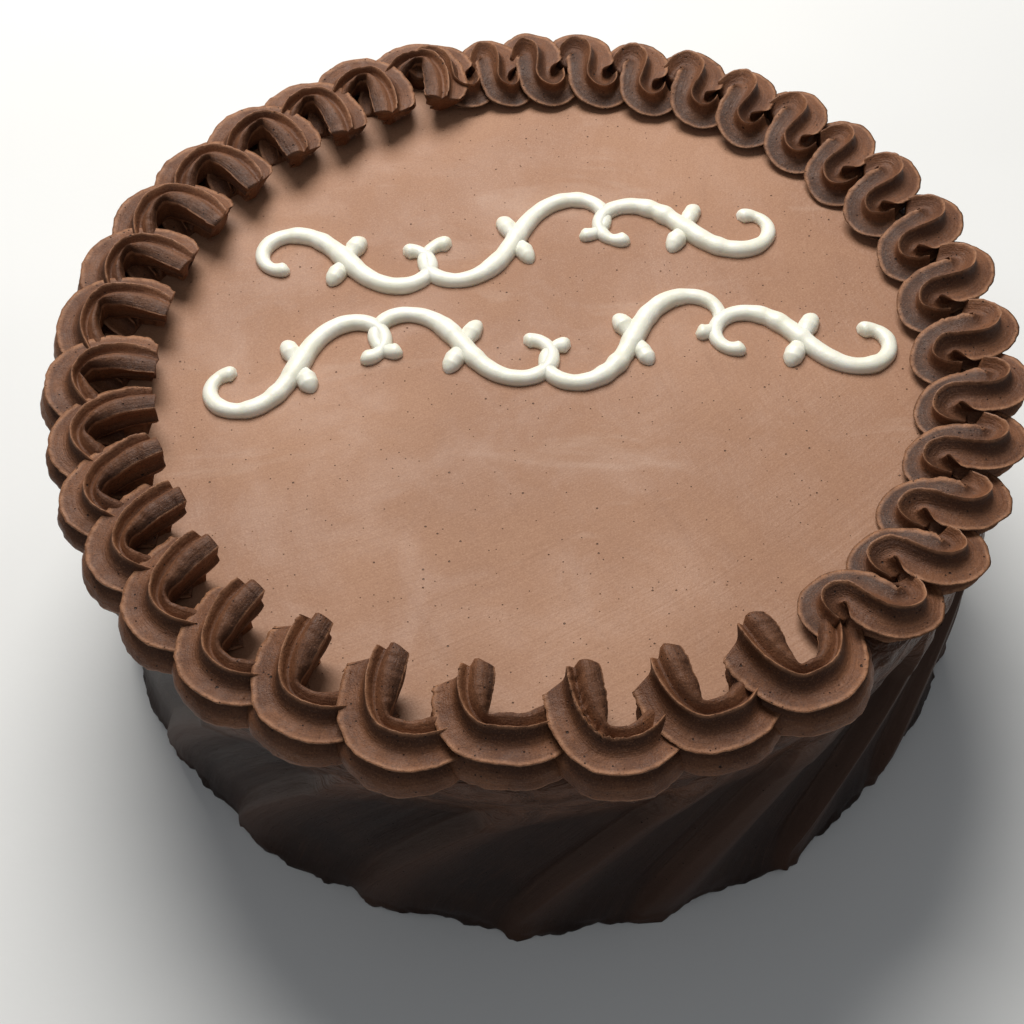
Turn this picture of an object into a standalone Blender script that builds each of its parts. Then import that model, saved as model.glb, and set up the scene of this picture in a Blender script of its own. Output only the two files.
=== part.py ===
"""Round iced layer cake with a piped border and piped scroll trim on top.

One frame in metres: +Z up, the flat underside on z = 0, the viewer on the -Y side.
The uncut cake is one solid. The piped border is one ring of overlapping strokes.
All sizes below are in millimetres and degrees and are turned into metres at the end.
"""
import math

import bmesh
import bpy
import numpy as np
from mathutils import Matrix

MM = 0.001
SEED = 11

# Cake
TOP_HEIGHT = 97.0
SIDE_FOOT_RADIUS = 137.6
SIDE_TOP_RADIUS = 134.6
RIM_ROUNDING = 7.0
RIM_STEPS = 4
TOUCH_GAP = 0.3

# Spatula swooshes round the side
SWOOSH_COUNT = 20
SWOOSH_PHASE = 283.0
SWOOSH_LEAN = 27.0
SWOOSH_DEPTH = 4.6
SWOOSH_FADE_FROM = 68.0
SWOOSH_FADE_TOP = 84.0
SWOOSH_FOOT_FADE = 22.0
FOOT_WAVE_HEIGHT = 10.0
SWOOSH_ACROSS = (0.0, 0.12, 0.28, 0.50, 0.78, 0.93)
SIDE_LEVELS = (0.0, 5.0, 20.0, 38.0, 56.0, 72.0, 88.0)

# Piped border
CORD_RADIUS = 9.2
CORD_FINS = 6
GROOVE_DEPTH = 0.46
GROOVE_POWER = 0.62
BORDER_RADIUS = 128.0
HUMP_AZIMUTHS = (96, 105, 114, 123, 132, 142, 152, 162, 172, 183, 191.5, 200.5, 209.5,
                 219, 229, 239.5, 250.5, 261.5, 274.5, 285.5, 297, 308.5, 318, 327, 336, 345,
                 354.5, 364, 374, 383.5, 392.5, 401, 410, 418, 426.5, 434.5, 443, 450, 456)
USUAL_PITCH = 21.2
OPEN_TIPS_FROM = 97.0
OPEN_TIPS_TO = 305.0
BACK_STROKES_TO = 198.0
BACK_REACH_IN = 3.5
BACK_BOW = 4.5
BACK_BOW_LEAN = 23.0
TURN_CHANGES = {17: -5.3, 18: -0.5, 19: -2.5, 20: -1.0}
HANG_FROM = 118.0
HANG_DEPTH = 4.2
BAND_SPREAD = 0.55
LEAST_FOOT = 0.3
SET_IN = 1.75
SET_IN_LEAST = 315.0
BACK_LEAD = 2.8
RIGHT_LAG = 1.5
FOLDED_FLATNESS = 0.80
OPEN_FLATNESS = 0.92
FOLDED_INNER_SHARE = 0.95
OPEN_INNER_SHARE = 0.45
LEAST_INNER_WIDTH = 2.2
START_PLACES = 2.5
START_SLANT = 0.70
START_UNDERCUT = 0.8
START_NOTCH = 0.8
OPEN_SECTION = (75.0, 60.0, 0.0, -46.0, -60.0, -90.0, -120.0, -137.0, -180.0, -215.0)
FOLDED_SECTION = (30.0, 0.0, -30.0, -60.0, -90.0, -120.0, -150.0, -180.0, -210.0)
OPEN_PLACES = (0.0, 2.2, 3.6, 4.7, 5.8, 7.0, 8.4, 10.0)
FOLDED_PLACES = (0.8, 2.2, 3.1, 4.1, 5.3, 7.0, 8.2, 9.4, 11.0)
FOOT_HALF_WIDTH = 0.6
FOOT_SINK = 0.6
CUTTER_SIDES = 76
CUTTER_FOOT = (4.0, 20.0)
CUTTER_SHOULDER = (0.5, 84.0)

# Piped scrolls on top, each row from its left end: (x, y, length, tilt, flipped)
UPPER_SCROLLS = ((-56.0, 40.0, 52.0, 8.0, False), (-4.0, 47.0, 56.0, 4.0, True),
                 (48.0, 50.0, 52.0, 12.0, False))
LOWER_SCROLLS = ((-68.0, -2.0, 50.0, 8.0, True), (-20.0, 4.0, 52.0, 3.0, False),
                 (30.0, 5.0, 52.0, 6.0, True), (79.0, 3.0, 50.0, 8.0, False))
SCROLL_END_TURN = 262.0
SCROLL_STEPS = 16
BEAD_WIDTH_MIDDLE = 6.6
BEAD_WIDTH_END = 3.6
BEAD_HEIGHT = 0.55
BEAD_TAPER = 0.8
CURL_FROM = 0.88
CURL_EXTRA = 2.2
CURVE_FINENESS = 40
BUD_LENGTH = 11.0
BUD_WIDTH = 6.0
BUD_ANGLES = (64.0, 244.0)


def smooth_curve(keys, places):
    """Catmull-Rom curve through evenly numbered keys, read at the given places."""
    keys = np.asarray(keys, float)
    count = len(keys)
    padded = np.vstack([2 * keys[0] - keys[1], keys, 2 * keys[-1] - keys[-2]])
    index = np.clip(np.floor(places).astype(int), 0, count - 2)
    part = (places - index)[:, None]
    before = padded[index]
    start = padded[index + 1]
    end = padded[index + 2]
    after = padded[index + 3]
    linear = end - before
    square = 2 * before - 5 * start + 4 * end - after
    cube = 3 * start - before - 3 * end + after
    return 0.5 * (2 * start + linear * part + square * part ** 2 + cube * part ** 3)


def smooth_step(value):
    value = np.clip(value, 0.0, 1.0)
    return value * value * (3 - 2 * value)


def mesh_object(name, points, faces):
    """Object from points in millimetres, with its faces turned outward."""
    mesh = bpy.data.meshes.new(name)
    mesh.from_pydata((np.asarray(points, float) * MM).tolist(), [], faces)
    mesh.update()
    item = bpy.data.objects.new(name, mesh)
    bpy.context.scene.collection.objects.link(item)
    return item


def tube_faces(rings, around):
    """Quads between rings of points, with both ends closed by one face each."""
    faces = []
    for ring in range(rings - 1):
        low = ring * around
        high = low + around
        for step in range(around):
            after = (step + 1) % around
            faces.append((low + step, low + after, high + after, high + step))
    faces.append(tuple(range(around - 1, -1, -1)))
    last = (rings - 1) * around
    faces.append(tuple(range(last, last + around)))
    return faces


def turned_rings(profile, around):
    """Rings of points for a profile of (radius, height) turned round the axis."""
    turn = np.linspace(0.0, 2 * math.pi, around, endpoint=False)
    rings = []
    for radius, height in profile:
        ring = np.stack([radius * np.cos(turn), radius * np.sin(turn), np.full(around, height)], 1)
        rings.append(ring)
    return np.vstack(rings)


def paint(item, name, colour, roughness):
    material = bpy.data.materials.new(name)
    material.use_nodes = True
    surface = material.node_tree.nodes["Principled BSDF"]
    surface.inputs["Base Color"].default_value = (colour[0], colour[1], colour[2], 1.0)
    surface.inputs["Roughness"].default_value = roughness
    surface.inputs["Metallic"].default_value = 0.0
    item.data.materials.clear()
    item.data.materials.append(material)


def joined(base, others, operation):
    """Base object after one Boolean with all the others, which are then removed."""
    group = bpy.data.collections.new("operands")
    bpy.context.scene.collection.children.link(group)
    for other in others:
        bpy.context.scene.collection.objects.unlink(other)
        group.objects.link(other)
    change = base.modifiers.new("join", "BOOLEAN")
    change.operation = operation
    change.operand_type = "COLLECTION"
    change.collection = group
    change.solver = "MANIFOLD"
    graph = bpy.context.evaluated_depsgraph_get()
    result = bpy.data.meshes.new_from_object(base.evaluated_get(graph))
    base.modifiers.clear()
    base.data = result
    for other in others:
        bpy.data.objects.remove(other)
    bpy.data.collections.remove(group)
    return base


def rim_profile(gap):
    """Flat top, rounded rim and upper side of the cake, moved outward by a gap."""
    centre_radius = SIDE_TOP_RADIUS - RIM_ROUNDING
    centre_height = TOP_HEIGHT - RIM_ROUNDING
    points = []
    for step in range(RIM_STEPS + 1):
        angle = math.radians(90.0 * (1.0 - step / RIM_STEPS))
        reach = RIM_ROUNDING + gap
        points.append((centre_radius + reach * math.cos(angle), centre_height + reach * math.sin(angle)))
    return points


def swoosh_azimuth(number, height):
    """Azimuth of a ridge of the side at a height: steep at the foot, leaning above."""
    rise = height / TOP_HEIGHT
    wander = 1.6 * math.sin(2.4 * number + 0.7)
    return SWOOSH_PHASE + number * 360.0 / SWOOSH_COUNT + wander + SWOOSH_LEAN * rise ** 1.5


def swoosh_relief(across, number):
    """Height of the icing between two ridges: soft fall, broad hollow, sharp step up."""
    fall = math.exp(-(across / 0.30) ** 2)
    step = float(smooth_step((across - 0.90) / 0.10))
    uneven = 1.0 + 0.18 * math.sin(1.9 * number + 1.1)
    return (max(fall, step) - 0.62) * uneven


def side_point(number, across, height):
    """Point of the side between ridge number and the next one."""
    here = swoosh_azimuth(number, height)
    following = swoosh_azimuth(number + 1, height)
    azimuth = math.radians(here + (following - here) * across)
    blend = height / TOP_HEIGHT
    radius = SIDE_FOOT_RADIUS + (SIDE_TOP_RADIUS - SIDE_FOOT_RADIUS) * blend
    fade_top = 1.0 - float(smooth_step((height - SWOOSH_FADE_FROM) / (SWOOSH_FADE_TOP - SWOOSH_FADE_FROM)))
    fade_foot = 0.35 + 0.65 * float(smooth_step(height / SWOOSH_FOOT_FADE))
    radius = radius + SWOOSH_DEPTH * fade_top * fade_foot * swoosh_relief(across, number)
    foot = 1.0 - float(smooth_step(height / FOOT_WAVE_HEIGHT))
    radius = radius + foot * (0.8 * math.sin(11 * azimuth) + 0.6 * math.sin(23 * azimuth + 1.0))
    return radius * math.cos(azimuth), radius * math.sin(azimuth), height


def make_cake():
    """Iced cake: flat underside, side with leaning swooshes, plain rounded rim, flat top."""
    around = SWOOSH_COUNT * len(SWOOSH_ACROSS)
    points = []
    for height in SIDE_LEVELS:
        for number in range(SWOOSH_COUNT):
            for across in SWOOSH_ACROSS:
                points.append(side_point(number, across, height))
    start = math.radians(swoosh_azimuth(0, SIDE_LEVELS[-1]))
    levels = len(SIDE_LEVELS)
    for radius, height in rim_profile(0.0)[::-1][1:]:
        levels += 1
        for number in range(SWOOSH_COUNT):
            for across in SWOOSH_ACROSS:
                here = swoosh_azimuth(number, SIDE_LEVELS[-1])
                following = swoosh_azimuth(number + 1, SIDE_LEVELS[-1])
                azimuth = math.radians(here + (following - here) * across)
                points.append((radius * math.cos(azimuth), radius * math.sin(azimuth), height))
    cake = mesh_object("cake", points, tube_faces(levels, around))
    paint(cake, "iced cake", (0.085, 0.045, 0.030), 0.55)
    return cake


def open_stroke_keys(pitch):
    """Keys of a stroke that starts with open tips.

    Each key: along the ring, distance from the axis, height above the top,
    heading from outward, turn of the fins, size.
    """
    return [
        (0.2, 112.0, 7.2, -2.0, 40.0, 0.93),
        (0.2, 115.5, 6.9, 0.0, 41.0, 1.00),
        (0.3, 120.0, 6.4, 4.0, 43.0, 1.02),
        (0.9, 124.8, 5.6, 14.0, 47.0, 1.02),
        (2.4, 129.6, 4.7, 32.0, 53.0, 1.02),
        (5.2, 133.2, 3.8, 60.0, 59.0, 1.02),
        (0.42 * pitch, 134.5, 3.3, 86.0, 63.0, 1.02),
        (0.60 * pitch, 133.6, 2.8, 104.0, 63.0, 0.99),
        (0.78 * pitch, 130.4, 1.4, 120.0, 62.0, 0.90),
        (0.95 * pitch, 125.6, -0.3, 134.0, 58.0, 0.78),
        (1.08 * pitch, 121.0, -1.4, 146.0, 54.0, 0.64),
    ]


def folded_stroke_keys(pitch):
    """Keys of a stroke that folds back over the end of the one before it."""
    return [
        (0.05 * pitch, 127.0, 0.2, 178.0, 60.0, 0.80),
        (0.05 * pitch, 123.0, 0.4, 172.0, 66.0, 0.86),
        (0.09 * pitch, 120.0, 0.9, 150.0, 76.0, 0.92),
        (0.20 * pitch, 118.4, 1.6, 105.0, 86.0, 0.95),
        (0.35 * pitch, 119.4, 2.6, 52.0, 78.0, 0.96),
        (0.44 * pitch, 122.3, 3.5, 22.0, 64.0, 0.97),
        (0.50 * pitch, 126.0, 3.9, 14.0, 56.0, 0.98),
        (0.57 * pitch, 129.8, 3.8, 24.0, 52.0, 1.00),
        (0.70 * pitch, 132.4, 3.3, 56.0, 48.0, 1.00),
        (0.87 * pitch, 133.4, 2.8, 92.0, 46.0, 1.00),
        (1.00 * pitch, 131.2, 2.0, 125.0, 46.0, 0.95),
        (1.08 * pitch, 127.6, 1.0, 150.0, 48.0, 0.90),
    ]


def hump_variation(number):
    """Small seeded differences between strokes: size, reach, height, turn of the fins."""
    noise = np.random.default_rng(SEED + 17 * number)
    size, reach, lift, turn = noise.normal(0.0, 1.0, 4)
    return 1.0 + 0.022 * size, 0.55 * reach, 0.35 * lift, 4.0 * turn


def starts_open(number):
    """Strokes at the front and left start with open tips, the others fold back."""
    return OPEN_TIPS_FROM < HUMP_AZIMUTHS[number] % 360 < OPEN_TIPS_TO


def section_angles(number):
    """Angles of the section's corners: the four fins that show, and a plain underside."""
    if starts_open(number):
        return np.radians(OPEN_SECTION)
    return np.radians(FOLDED_SECTION)


def fin_groove(fin_angle, is_open):
    """Depth of the grooves round a stroke, 0 on a fin's crest and 1 half way to the next.

    Open strokes have a broad inner band and a broad outer one, each beside a thin notch,
    and their inner flank falls back under the inner band.
    """
    groove = np.abs(np.sin(CORD_FINS / 2 * fin_angle)) ** GROOVE_POWER
    if not is_open:
        return groove
    degrees = (np.degrees(fin_angle) + 240.0 + 1e-6) % 360.0 - 240.0
    inner_notch = 0.90 * np.exp(-((degrees + 47.0) / 9.0) ** 2)
    outer_notch = 0.85 * np.exp(-((degrees + 135.0) / 8.0) ** 2)
    groove = np.where((degrees > -60.0) & (degrees < 0.0), inner_notch, groove)
    groove = np.where(degrees < -120.0, outer_notch, groove)
    flank = np.clip(degrees / 25.0, 0.0, 1.0) ** GROOVE_POWER
    return np.where(degrees > 0.0, flank, groove)


def hump_rings(number, places, fin_angle):
    """Rings of points of one piped stroke of the border, at places along its keys."""
    azimuth = HUMP_AZIMUTHS[number]
    pitch = math.radians(HUMP_AZIMUTHS[number + 1] - azimuth) * BORDER_RADIUS
    azimuth = azimuth % 360
    is_open = starts_open(number)
    keys = open_stroke_keys(pitch) if is_open else folded_stroke_keys(pitch)
    places = np.asarray(places, float)
    along, reach, lift, heading, turn, size = smooth_curve(keys, places).T
    size_change, reach_change, lift_change, turn_change = hump_variation(number)
    reach = reach + reach_change
    lift = lift + lift_change
    turn = turn + turn_change
    if is_open:
        back = float(smooth_step((BACK_STROKES_TO - azimuth) / 14.0))
        reach = reach - BACK_REACH_IN * back * np.clip(1.0 - places / 4.0, 0.0, 1.0)
        bow = math.pi * np.clip(places / 9.0, 0.0, 1.0)
        along = along - BACK_BOW * back * np.sin(bow)
        heading = heading - BACK_BOW_LEAN * back * np.cos(bow)
        turning = smooth_step((places - 1.0) / 5.0)
        reach = reach + TURN_CHANGES.get(number, 0.0) * turning
    else:
        along = along + BACK_LEAD * max(math.sin(math.radians(azimuth)), 0.0)
        along = along - RIGHT_LAG * math.cos(math.radians(azimuth))
    reach = reach - SET_IN * (1.0 - math.cos(math.radians(azimuth - SET_IN_LEAST)))
    flatness = OPEN_FLATNESS if is_open else FOLDED_FLATNESS
    inner_share = OPEN_INNER_SHARE if is_open else FOLDED_INNER_SHARE
    radius = CORD_RADIUS * (0.88 + 0.12 * pitch / USUAL_PITCH) * size_change * size
    swing = math.radians(azimuth) + along / BORDER_RADIUS
    centre = np.stack([reach * np.cos(swing), reach * np.sin(swing), TOP_HEIGHT + lift], 1)
    facing = math.radians(azimuth) + 0.5 * along / BORDER_RADIUS + np.radians(heading)
    left = np.stack([-np.sin(facing), np.cos(facing), np.zeros_like(facing)], 1)
    step_length = np.linalg.norm(np.gradient(centre[:, :2], axis=0), axis=1)
    bend = np.gradient(facing) / np.maximum(step_length, 1e-6)
    groove = fin_groove(fin_angle, is_open)
    fins = 1.0 - GROOVE_DEPTH * groove
    outward = np.array([math.cos(math.radians(azimuth)), math.sin(math.radians(azimuth)), 0.0])
    side_view = math.sin(math.radians(azimuth)) ** 2
    rings = []
    for step in range(len(places)):
        angle = fin_angle + math.radians(turn[step])
        across = np.sin(angle) * fins * radius[step]
        above = np.cos(angle) * fins * radius[step]
        foot = max(lift[step] + FOOT_SINK, LEAST_FOOT)
        above = np.where(above < 0, above * foot / radius[step], above * flatness)
        across[0] = FOOT_HALF_WIDTH * radius[step]
        above[0] = -foot
        if not is_open:
            across[-1] = -FOOT_HALF_WIDTH * radius[step]
            above[-1] = -foot
        if is_open:
            hang = float(smooth_step((reach[step] - HANG_FROM) / 6.0))
            low = np.where(np.sin(angle) < 0, np.clip(-np.cos(angle), 0.0, 1.0), 0.0)
            across = across * (1.0 + BAND_SPREAD * hang * low)
            above = above - HANG_DEPTH * hang * low
        if abs(bend[step]) > 1e-4:
            limit = max(inner_share / abs(bend[step]), LEAST_INNER_WIDTH)
            inner = across * bend[step] > 0
            across = np.where(inner, np.sign(across) * limit * np.tanh(np.abs(across) / limit), across)
        ring = centre[step] + np.outer(across, left[step]) + np.outer(above, (0.0, 0.0, 1.0))
        if is_open:
            fade = max(0.0, 1.0 - places[step] / START_PLACES) ** 1.5
            short = np.where(across < 0, -START_SLANT * across, across * (0.4 * side_view - 0.2))
            short = short + START_NOTCH * groove
            short = short + START_UNDERCUT * np.maximum(0.0, -above)
            ring = ring + np.outer(short * fade, outward)
        rings.append(ring)
    return np.array(rings)


def keep_largest(item):
    """Drops the loose scraps a Boolean leaves, down to the largest piece joined by faces."""
    shape = bmesh.new()
    shape.from_mesh(item.data)
    waiting_faces = set(shape.faces)
    pieces = []
    while waiting_faces:
        piece = {waiting_faces.pop()}
        edge_of_piece = list(piece)
        while edge_of_piece:
            face = edge_of_piece.pop()
            for edge in face.edges:
                for other in edge.link_faces:
                    if other not in piece:
                        piece.add(other)
                        edge_of_piece.append(other)
        waiting_faces -= piece
        pieces.append(piece)
    largest = max(pieces, key=len)
    scraps = [face for face in shape.faces if face not in largest]
    bmesh.ops.delete(shape, geom=scraps, context="FACES")
    shape.to_mesh(item.data)
    shape.free()


def centre_on_axis(items):
    """Moves the points of all the items so that their joint box is centred on the axis."""
    low = np.full(3, np.inf)
    high = np.full(3, -np.inf)
    for item in items:
        points = np.array([vertex.co for vertex in item.data.vertices])
        low = np.minimum(low, points.min(axis=0))
        high = np.maximum(high, points.max(axis=0))
    middle = 0.5 * (low + high)
    for item in items:
        item.data.transform(Matrix.Translation((-middle[0], -middle[1], 0.0)))


def make_border():
    """Ring of overlapping strokes, cut underneath to sit just clear of the cake."""
    strokes = []
    for number in range(len(HUMP_AZIMUTHS) - 1):
        corners = section_angles(number)
        places = OPEN_PLACES if starts_open(number) else FOLDED_PLACES
        rings = hump_rings(number, places, corners)
        faces = tube_faces(len(places), len(corners))
        strokes.append(mesh_object("stroke", rings.reshape(-1, 3), faces))
    border = joined(strokes[0], strokes[1:], "UNION")
    profile = [(SIDE_FOOT_RADIUS + CUTTER_FOOT[0], CUTTER_FOOT[1]),
               (SIDE_TOP_RADIUS + CUTTER_SHOULDER[0], CUTTER_SHOULDER[1])]
    profile = profile + rim_profile(TOUCH_GAP)[::-1]
    cutter = mesh_object("cutter", turned_rings(profile, CUTTER_SIDES), tube_faces(len(profile), CUTTER_SIDES))
    joined(border, [cutter], "DIFFERENCE")
    keep_largest(border)
    border.name = "piped_border"
    paint(border, "piped border", (0.105, 0.055, 0.036), 0.5)
    return border


def scroll_line(scroll, steps):
    """Middle line of a lying scroll: a curve whose bend grows evenly towards both ends."""
    x, y, length, tilt, flipped = scroll
    run = np.linspace(-1.0, 1.0, CURVE_FINENESS * steps + 1)
    turn = math.radians(SCROLL_END_TURN) * run ** 2
    line_x = np.concatenate([[0.0], np.cumsum(np.cos(0.5 * (turn[1:] + turn[:-1])))])
    line_y = np.concatenate([[0.0], np.cumsum(np.sin(0.5 * (turn[1:] + turn[:-1])))])
    if flipped:
        line_y = -line_y
    line_x = line_x - line_x.mean()
    line_y = line_y - line_y.mean()
    lean = math.atan2(line_y[-1] - line_y[0], line_x[-1] - line_x[0])
    wanted = math.radians(tilt)
    turned_x = line_x * math.cos(wanted - lean) - line_y * math.sin(wanted - lean)
    turned_y = line_x * math.sin(wanted - lean) + line_y * math.cos(wanted - lean)
    scale = length / (turned_x.max() - turned_x.min())
    pick = slice(None, None, CURVE_FINENESS)
    return np.stack([x + scale * turned_x, y + scale * turned_y], 1)[pick]


def bead_rings(line, widths):
    """Rings of a flat-bottomed rounded bead that follows a line over the cake's top."""
    line = np.asarray(line, float)
    direction = np.gradient(line, axis=0)
    direction = direction / np.linalg.norm(direction, axis=1)[:, None]
    rings = []
    for (x, y), (dx, dy), width in zip(line, direction, widths):
        for across, above in ((0.5, 0.0), (0.40, 0.62), (0.0, 1.0), (-0.40, 0.62), (-0.5, 0.0)):
            height = TOP_HEIGHT + TOUCH_GAP + above * width * BEAD_HEIGHT
            rings.append((x - dy * across * width, y + dx * across * width, height))
    return rings


def bead_object(line, widths):
    rings = bead_rings(line, widths)
    return mesh_object("bead", rings, tube_faces(len(line), 5))


def bud_line(scroll, angle):
    """Short bud that leaves the middle of a scroll."""
    x, y, length, tilt, flipped = scroll
    way = math.radians(angle if not flipped else -angle)
    steps = np.linspace(0.0, BUD_LENGTH, 5)
    return np.stack([x + steps * math.cos(way), y + steps * math.sin(way)], 1)


def make_scrolls(name, scrolls):
    """One row of cream scrolls with buds, joined into one piece."""
    beads = []
    for scroll in scrolls:
        line = scroll_line(scroll, SCROLL_STEPS)
        run = np.abs(np.linspace(-1.0, 1.0, len(line)))
        widths = BEAD_WIDTH_END + (BEAD_WIDTH_MIDDLE - BEAD_WIDTH_END) * (1.0 - run) ** BEAD_TAPER
        widths = widths + CURL_EXTRA * np.clip((run - CURL_FROM) / (1.0 - CURL_FROM), 0.0, 1.0)
        beads.append(bead_object(line, widths))
        for angle in BUD_ANGLES:
            bud_widths = BUD_WIDTH * np.array([0.45, 0.8, 1.0, 0.9, 0.3])
            beads.append(bead_object(bud_line(scroll, angle), bud_widths))
    row = joined(beads[0], beads[1:], "UNION")
    row.name = name
    paint(row, name.replace("_", " "), (0.90, 0.87, 0.74), 0.4)
    return row


def main():
    for item in list(bpy.data.objects):
        bpy.data.objects.remove(item)
    cake = make_cake()
    border = make_border()
    upper = make_scrolls("scroll_upper", UPPER_SCROLLS)
    lower = make_scrolls("scroll_lower", LOWER_SCROLLS)
    centre_on_axis([cake, border, upper, lower])


main()
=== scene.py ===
"""Looks of the iced layer cake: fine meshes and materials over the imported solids.

The making is in millimetres and degrees, in the frame of the solids: +Z up, underside
on z = 0, the viewer on the -Y side. Points are turned into metres at the end.
"""
import math

import bpy
import numpy as np
from mathutils import Matrix, Vector


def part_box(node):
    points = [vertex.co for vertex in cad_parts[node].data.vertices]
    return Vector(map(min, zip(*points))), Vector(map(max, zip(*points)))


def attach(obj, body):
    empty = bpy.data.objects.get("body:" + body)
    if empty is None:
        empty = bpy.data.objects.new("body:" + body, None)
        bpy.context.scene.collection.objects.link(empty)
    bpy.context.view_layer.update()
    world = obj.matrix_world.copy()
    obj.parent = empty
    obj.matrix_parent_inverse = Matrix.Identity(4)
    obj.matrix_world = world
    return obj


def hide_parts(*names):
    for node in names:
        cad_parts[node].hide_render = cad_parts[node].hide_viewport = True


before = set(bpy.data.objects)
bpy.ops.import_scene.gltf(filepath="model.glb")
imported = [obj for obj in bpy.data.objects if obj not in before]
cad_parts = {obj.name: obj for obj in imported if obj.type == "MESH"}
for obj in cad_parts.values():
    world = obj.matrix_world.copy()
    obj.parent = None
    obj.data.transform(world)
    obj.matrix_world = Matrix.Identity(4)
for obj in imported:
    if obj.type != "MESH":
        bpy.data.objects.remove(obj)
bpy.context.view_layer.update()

MM = 0.001
SEED = 11

# Cake, as in the solids, in millimetres
TOP_HEIGHT = 97.0
SIDE_FOOT_RADIUS = 137.6
SIDE_TOP_RADIUS = 134.6
RIM_ROUNDING = 7.0

# Spatula swooshes round the side, as in the solids
SWOOSH_COUNT = 20
SWOOSH_PHASE = 283.0
SWOOSH_LEAN = 27.0
SWOOSH_DEPTH = 4.6
SWOOSH_FADE_FROM = 68.0
SWOOSH_FADE_TOP = 84.0
SWOOSH_FALL_WIDTH = 0.30
SWOOSH_STEP_FROM = 0.90
SWOOSH_MIDDLE_LEVEL = 0.62
FOOT_FADE_HEIGHT = 22.0
FOOT_FADE_LEAST = 0.35
SIDE_HEIGHT = 88.0

# Finer relief of the side, only in these looks
FOOT_WAVE_HEIGHT = 10.0
WIDE_STREAK_DEPTH = 0.35
FINE_STREAK_DEPTH = 0.11
SMEAR_BAND_FROM = 60.0
SMEAR_BAND_SPAN = 14.0
SMEAR_DEPTH = 0.9
LUMP_DEPTH = 0.35
FOLD_DEPTH = 0.55
SMEAR_STANDS_PROUD = 0.6
CRUMB_HEIGHT = 7.0
CRUMB_DEPTH = 0.9
FINE_CRUMB_DEPTH = 0.4
UNDERSIDE_SHARE = 0.97

# Painted highlight along the side's ridges, and height of the glossy smears that get a painted reflection,
# for the material
RIDGE_PAINTED_HIGHLIGHT = ((0.0, 0.0), (0.36, 0.0), (0.46, 0.9), (0.60, 0.75), (0.78, 0.1), (1.0, 0.0))
SMEARS_FROM = 66.0
SMEARS_FULL = 80.0

# Arcs of the top: middle of the arcs, depths, and the flat edge
ARC_MIDDLE = (260.0, 60.0)
ARC_DEPTH = 0.07
SWELL_DEPTH = 0.12
TOP_SINK = 0.05
TOP_EDGE_WIDTH = 12.0

# Piped border, as in the solids
CORD_RADIUS = 9.2
CORD_FINS = 6
GROOVE_DEPTH = 0.46
GROOVE_POWER = 0.62
BORDER_RADIUS = 128.0
HUMP_AZIMUTHS = (96, 105, 114, 123, 132, 142, 152, 162, 172, 183, 191.5, 200.5, 209.5,
                 219, 229, 239.5, 250.5, 261.5, 274.5, 285.5, 297, 308.5, 318, 327, 336, 345,
                 354.5, 364, 374, 383.5, 392.5, 401, 410, 418, 426.5, 434.5, 443, 450, 456)
USUAL_PITCH = 21.2
OPEN_TIPS_FROM = 97.0
OPEN_TIPS_TO = 305.0
BACK_STROKES_TO = 198.0
BACK_REACH_IN = 3.5
BACK_BOW = 4.5
BACK_BOW_LEAN = 23.0
TURN_CHANGES = {17: -5.3, 18: -0.5, 19: -2.5, 20: -1.0}
HANG_FROM = 118.0
HANG_DEPTH = 4.2
BAND_SPREAD = 0.55
LEAST_FOOT = 0.3
SET_IN = 1.75
SET_IN_LEAST = 315.0
BACK_LEAD = 2.8
RIGHT_LAG = 1.5
FOLDED_FLATNESS = 0.80
OPEN_FLATNESS = 0.92
FOLDED_INNER_SHARE = 0.95
OPEN_INNER_SHARE = 0.45
LEAST_INNER_WIDTH = 2.2
START_PLACES = 2.5
START_SLANT = 0.70
START_UNDERCUT = 0.8
START_NOTCH = 0.8
OPEN_RUN = (0.0, 10.0)
FOLDED_RUN = (0.8, 11.0)
FOOT_SINK = 0.6
INNER_NOTCH_ANGLE = -47.0
INNER_NOTCH_WIDTH = 9.0
OUTER_NOTCH_ANGLE = -135.0
OUTER_NOTCH_WIDTH = 8.0
STROKE_RINGS = 64

# Finer relief of the border, only in these looks
BACK_TIP_DROOP = 0.45
BACK_TIP_LENGTH = 4.0
RAGGED_CREST = 0.026
FINE_RAGGED_CREST = 0.020
SOFT_WAVE = 0.025
FAINT_RIDGES = ((-92.0, 2.5, 0.030), (-82.0, 2.0, 0.022))
TORN_STROKES = (18,)
TORN_ANGLE = -52.0
TORN_WIDTH = 13.0
# Painted shade on one flank of each fin of the border, darkest near the crest and clear on the other flank
FIN_PAINTED_SHADE = ((0.0, 0.0), (0.30, 0.0), (0.50, 0.15), (0.72, 0.45), (0.90, 0.80), (0.97, 0.55),
               (1.0, 0.0))

# Piped scrolls on top, each row from its left end: (x, y, length, tilt, flipped)
UPPER_SCROLLS = ((-56.0, 40.0, 52.0, 8.0, False), (-4.0, 47.0, 56.0, 4.0, True),
                 (48.0, 50.0, 52.0, 12.0, False))
LOWER_SCROLLS = ((-68.0, -2.0, 50.0, 8.0, True), (-20.0, 4.0, 52.0, 3.0, False),
                 (30.0, 5.0, 52.0, 6.0, True), (79.0, 3.0, 50.0, 8.0, False))
SCROLL_END_TURN = 262.0
BEAD_WIDTH_MIDDLE = 6.6
BEAD_WIDTH_END = 3.6
BEAD_HEIGHT = 0.55
BUD_LENGTH = 11.0
BUD_WIDTH = 6.0
BUD_ANGLES = (64.0, 244.0)
BUD_SHAPE = (0.45, 0.8, 1.0, 0.9, 0.5)
BUD_STEPS = 33
SCROLL_STEPS = 160
END_BULB = 2.2
END_BULB_FROM = 0.88

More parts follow.
